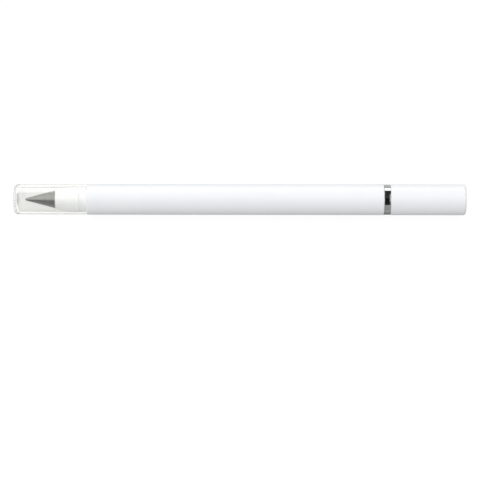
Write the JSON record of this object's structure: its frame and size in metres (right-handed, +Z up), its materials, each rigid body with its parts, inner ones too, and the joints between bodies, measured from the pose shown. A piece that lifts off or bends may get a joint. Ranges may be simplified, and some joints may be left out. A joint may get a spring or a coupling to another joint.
{
  "type": "dual-tip pen",
  "caption": "Slim round pen with a metal pencil nib under a clear pull-off cap and a ballpoint under a white pull-off cap, with a chrome ring and ends that unscrew.",
  "frame": {"origin": "the middle of the capped pen's length, on the line where it touches the surface that it lies on", "axes": "+X along the pen from the pencil end to the ball end, +Z up from the surface"},
  "size_m": [0.15, 0.0102, 0.0102],
  "materials": {
    "white_lacquer": "satin white lacquer on aluminium",
    "white_plastic": "moulded, semi-gloss",
    "clear_plastic": "clear moulded plastic, polished",
    "nib_alloy": "turned, fine rings",
    "chrome": "polished chrome plate",
    "bush_plastic": "moulded, matte",
    "tube_plastic": "extruded, translucent",
    "point_metal": "turned nickel silver",
    "ball_carbide": "ground and polished",
    "ink": "wet ink"
  },
  "bodies": {
    "barrel": {"barrel_tube": "white_lacquer", "head_bush": "bush_plastic", "nose_bush": "bush_plastic"},
    "nib": {"nib": "nib_alloy"},
    "collar": {"nib_collar": "white_plastic"},
    "clear_cap": {"clear_cap": "clear_plastic"},
    "refill": {"refill_tube": "tube_plastic", "tip_holder": "tube_plastic", "refill_tip": "point_metal", "ink_column": "ink"},
    "ball": {"writing_ball": "ball_carbide"},
    "nose": {"nose_cone": "chrome", "trim_ring": "chrome"},
    "white_cap": {"cap_shell": "white_lacquer", "cap_liner": "bush_plastic"}
  },
  "joints": [
    {"name": "nib_advance", "type": "slide", "parent": "barrel", "child": "nib", "axis": [-1, 0, 0], "range_m": [0, 0.006]},
    {"name": "collar_unscrew", "type": "hinge", "parent": "nib", "child": "collar", "pos_m": [-0.05065, 0, 0.0051], "axis": [-1, 0, 0], "range_deg": [0, 2880]},
    {"name": "clear_cap_pull", "type": "slide", "parent": "collar", "child": "clear_cap", "axis": [-1, 0, 0], "range_m": [0, 0.03]},
    {"name": "refill_advance", "type": "slide", "parent": "barrel", "child": "refill", "axis": [1, 0, 0], "range_m": [0, 0.006]},
    {"name": "nose_unscrew", "type": "hinge", "parent": "refill", "child": "nose", "pos_m": [0.04795, 0, 0.0051], "axis": [1, 0, 0], "range_deg": [0, 2880]},
    {"name": "white_cap_pull", "type": "slide", "parent": "nose", "child": "white_cap", "axis": [1, 0, 0], "range_m": [0, 0.03]},
    {"name": "ball_roll", "type": "hinge", "parent": "refill", "child": "ball", "pos_m": [0.0681, 0, 0.0051], "axis": [0, 1, 0], "continuous": true}
  ],
  "couplings": [
    {"joint": "collar_unscrew", "follows": "nib_advance", "rad_per_m": 8377.6},
    {"joint": "nose_unscrew", "follows": "refill_advance", "rad_per_m": 8377.6}
  ]
}
